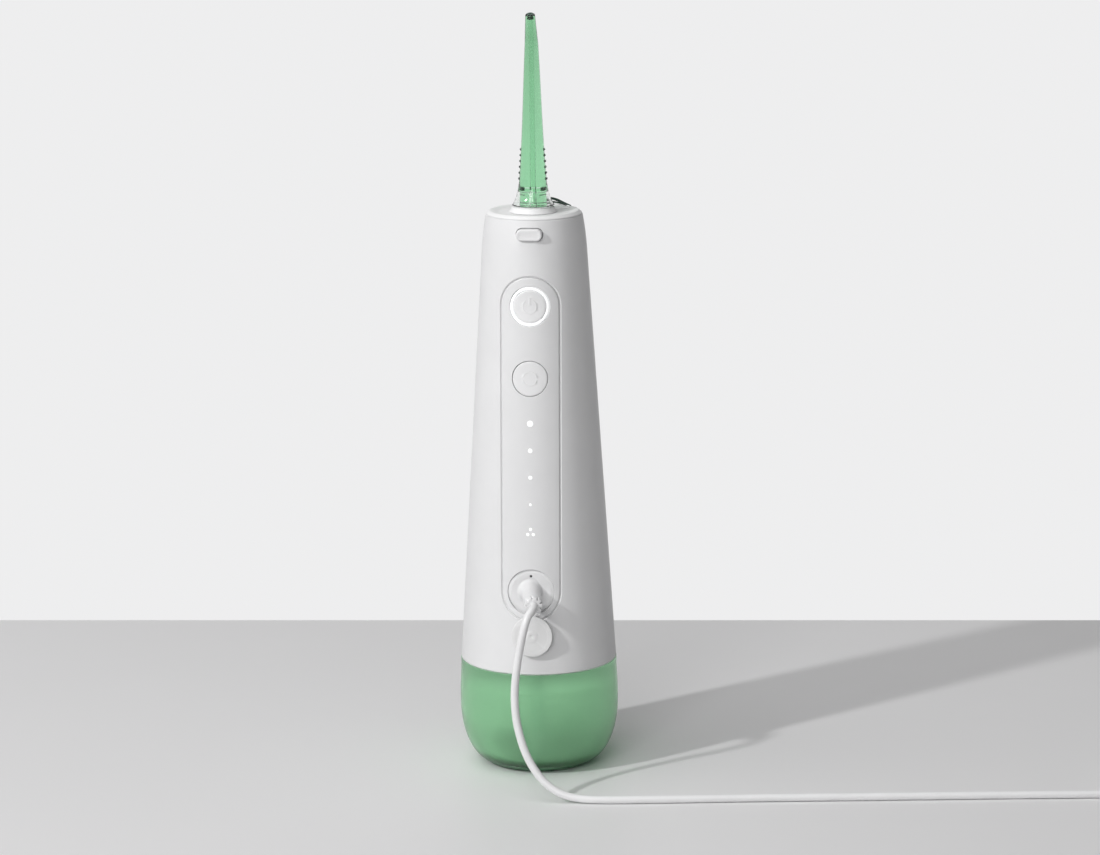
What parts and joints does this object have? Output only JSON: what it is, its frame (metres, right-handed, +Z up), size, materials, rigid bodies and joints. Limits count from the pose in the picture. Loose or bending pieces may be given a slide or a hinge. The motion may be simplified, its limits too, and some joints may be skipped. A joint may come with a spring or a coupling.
{
  "type": "water flosser",
  "caption": "Cordless water flosser: tapered handle with pump and motor on a clear lift-off tank, turning jet nozzle, and a plugged-in charging lead.",
  "frame": {"origin": "centre of the tank's flat foot, on the surface it stands on", "axes": "+Z up along the handle, -Y the front with the controls, +X to the right of someone facing the front"},
  "size_m": [0.2999, 0.0974, 0.289],
  "materials": {
    "tank": "clear green tinted plastic, softly glossy",
    "nozzle_clear": "clear green tinted plastic, glossy",
    "jet_insert": "dark green moulded orifice",
    "housing_white": "white satin ABS",
    "panel_white": "white satin insert",
    "button_white": "white satin key caps",
    "ring_light": "diffusing translucent light pipe",
    "cover_rubber": "soft white elastomer",
    "structure": "grey moulded chassis plastic",
    "clear_pipe": "clear flexible tube",
    "acetal": "white acetal",
    "seal_rubber": "black nitrile",
    "steel": "bright steel",
    "brass": "turned brass and copper",
    "cell_wrap": "green shrink wrapped cell",
    "board": "green glass epoxy board",
    "black_plastic": "black moulded plastic",
    "lamp": "pale lamp resin",
    "lead_white": "satin white cable jacket",
    "plug_white": "white overmoulded plug",
    "usb_steel": "nickel plated shell",
    "usb_white": "white contact tongue"
  },
  "bodies": {
    "tank": {"tank_shell": "tank"},
    "handle": {"outer_housing": "housing_white", "control_panel": "panel_white", "top_cap": "housing_white", "chassis": "structure", "bulkhead": "structure", "tank_seal": "seal_rubber", "housing_screws": "steel", "battery_cell": "cell_wrap", "circuit_board": "board", "tact_switches": "black_plastic", "indicator_leds": "lamp", "light_guide": "ring_light", "power_light_ring": "ring_light", "charge_socket": "black_plastic", "charge_pins": "brass", "cover_anchor": "cover_rubber", "release_spring": "steel", "nozzle_socket": "structure", "motor_can": "steel", "motor_end_cap": "black_plastic", "motor_screws": "steel", "gear_axle": "steel", "axle_clip": "steel", "pump_cylinder": "clear_pipe", "pump_head": "structure", "pump_screws": "steel", "inlet_spring": "steel", "outlet_spring": "steel", "inlet_hose": "clear_pipe", "outlet_hose": "clear_pipe", "suction_tube": "clear_pipe", "inlet_filter": "structure"},
    "lead": {"charge_plug": "plug_white", "plug_relief": "plug_white", "charge_cable": "lead_white", "cable_coil": "lead_white", "coil_tie": "black_plastic", "usb_grip": "plug_white", "usb_shell": "usb_steel", "usb_tongue": "usb_white"},
    "dial": {"nozzle_dial": "housing_white"},
    "nozzle": {"nozzle": "nozzle_clear", "nozzle_seal": "seal_rubber", "jet_tip": "jet_insert"},
    "power_key": {"power_button": "button_white"},
    "mode_key": {"mode_button": "button_white"},
    "release": {"release_button": "button_white", "release_latch": "structure"},
    "cover": {"port_cover": "cover_rubber"},
    "crank": {"crank_gear": "acetal"},
    "rotor": {"motor_armature": "brass", "pinion": "brass"},
    "rod": {"connecting_rod": "acetal"},
    "plunger": {"piston": "acetal", "piston_seal": "seal_rubber", "wrist_pin": "steel"},
    "inlet_valve": {"inlet_ball": "steel"},
    "outlet_valve": {"outlet_ball": "steel"}
  },
  "joints": [
    {"name": "handle_lift", "type": "slide", "parent": "tank", "child": "handle", "axis": [0, 0, 1], "range_m": [0, 0.06]},
    {"name": "plug_pull", "type": "slide", "parent": "handle", "child": "lead", "axis": [0, -1, 0], "range_m": [0, 0.018]},
    {"name": "dial_turn", "type": "hinge", "parent": "handle", "child": "dial", "pos_m": [0, -0.003, 0.213], "axis": [0, 0, 1], "continuous": true},
    {"name": "nozzle_pull", "type": "slide", "parent": "dial", "child": "nozzle", "axis": [0, 0, 1], "range_m": [0, 0.03]},
    {"name": "power_press", "type": "slide", "parent": "handle", "child": "power_key", "axis": [0, 0.998, -0.0628], "range_m": [0, 0.0006], "stiffness_N_per_m": 2000},
    {"name": "mode_press", "type": "slide", "parent": "handle", "child": "mode_key", "axis": [0, 0.998, -0.0628], "range_m": [0, 0.0006], "stiffness_N_per_m": 2000},
    {"name": "release_press", "type": "slide", "parent": "handle", "child": "release", "axis": [0, 1, 0], "range_m": [0, 0.0015], "stiffness_N_per_m": 1200, "deforming": ["release_spring"]},
    {"name": "cover_swing", "type": "hinge", "parent": "handle", "child": "cover", "pos_m": [0, -0.02868, 0.0643], "axis": [-1, 0, 0], "range_deg": [0, 55], "stiffness_Nm_per_rad": 0.002},
    {"name": "crank_turn", "type": "hinge", "parent": "handle", "child": "crank", "pos_m": [0, -0.0043, 0.1456], "axis": [0, 1, 0], "continuous": true},
    {"name": "rotor_turn", "type": "hinge", "parent": "handle", "child": "rotor", "pos_m": [0, -0.0043, 0.16], "axis": [0, 1, 0], "continuous": true},
    {"name": "rod_turn", "type": "hinge", "parent": "crank", "child": "rod", "pos_m": [0, -0.0076, 0.1438], "axis": [0, 1, 0], "continuous": true},
    {"name": "piston_stroke", "type": "slide", "parent": "handle", "child": "plunger", "axis": [0, 0, 1], "range_m": [0, 0.0036]},
    {"name": "inlet_lift", "type": "slide", "parent": "handle", "child": "inlet_valve", "axis": [0, 0, 1], "range_m": [0, 0.0008], "stiffness_N_per_m": 60, "deforming": ["inlet_spring"]},
    {"name": "outlet_lift", "type": "slide", "parent": "handle", "child": "outlet_valve", "axis": [0, 0, 1], "range_m": [0, 0.0008], "stiffness_N_per_m": 60, "deforming": ["outlet_spring"]}
  ],
  "couplings": [
    {"joint": "rotor_turn", "follows": "crank_turn", "ratio": -3},
    {"joint": "rod_turn", "follows": "crank_turn", "ratio": -1}
  ]
}
